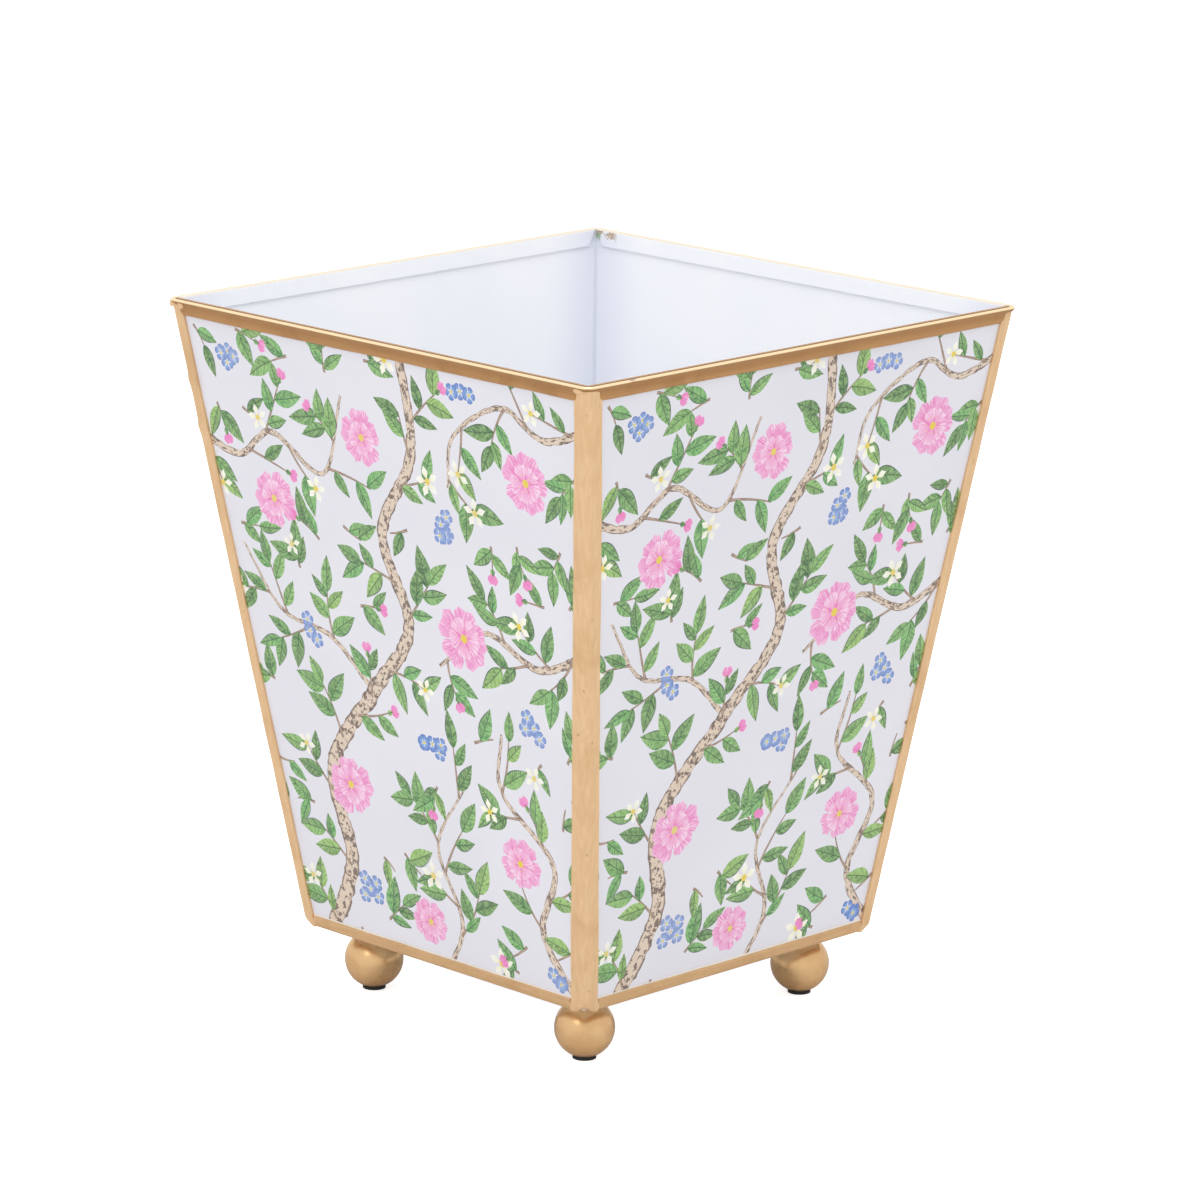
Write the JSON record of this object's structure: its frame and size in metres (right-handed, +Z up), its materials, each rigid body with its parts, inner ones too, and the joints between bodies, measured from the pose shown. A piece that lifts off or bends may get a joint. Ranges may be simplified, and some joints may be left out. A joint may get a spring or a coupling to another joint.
{
  "type": "cachepot",
  "caption": "Square tapered sheet-metal cachepot with printed walls, gilt edge strips and ball feet.",
  "frame": {"origin": "on the floor, under the middle of the pot", "axes": "+Z up; the walls face -Y front, +X right, +Y back and -X left"},
  "size_m": [0.1524, 0.1524, 0.1818],
  "materials": {
    "gilt": "satin gilt",
    "gilt_ball": "smooth satin gilt",
    "white_enamel": "semi-gloss",
    "printed_lacquer": "gloss lacquer over a botanical print",
    "pad_rubber": "matt",
    "zinc_steel": "zinc plated"
  },
  "bodies": {
    "root": {"wall_sheet_front": "white_enamel", "print_coat_front": "printed_lacquer", "rim_strip_front": "gilt", "base_strip_front": "gilt", "wall_sheet_right": "white_enamel", "print_coat_right": "printed_lacquer", "rim_strip_right": "gilt", "base_strip_right": "gilt", "wall_sheet_back": "white_enamel", "print_coat_back": "printed_lacquer", "rim_strip_back": "gilt", "base_strip_back": "gilt", "wall_sheet_left": "white_enamel", "print_coat_left": "printed_lacquer", "rim_strip_left": "gilt", "base_strip_left": "gilt", "corner_strip_front_right": "gilt", "ball_foot_front_right": "gilt_ball", "foot_pad_front_right": "pad_rubber", "corner_strip_back_right": "gilt", "ball_foot_back_right": "gilt_ball", "foot_pad_back_right": "pad_rubber", "corner_strip_back_left": "gilt", "ball_foot_back_left": "gilt_ball", "foot_pad_back_left": "pad_rubber", "corner_strip_front_left": "gilt", "ball_foot_front_left": "gilt_ball", "foot_pad_front_left": "pad_rubber", "base_plate": "white_enamel", "foot_screws": "zinc_steel", "foot_washers": "zinc_steel"}
  },
  "joints": []
}
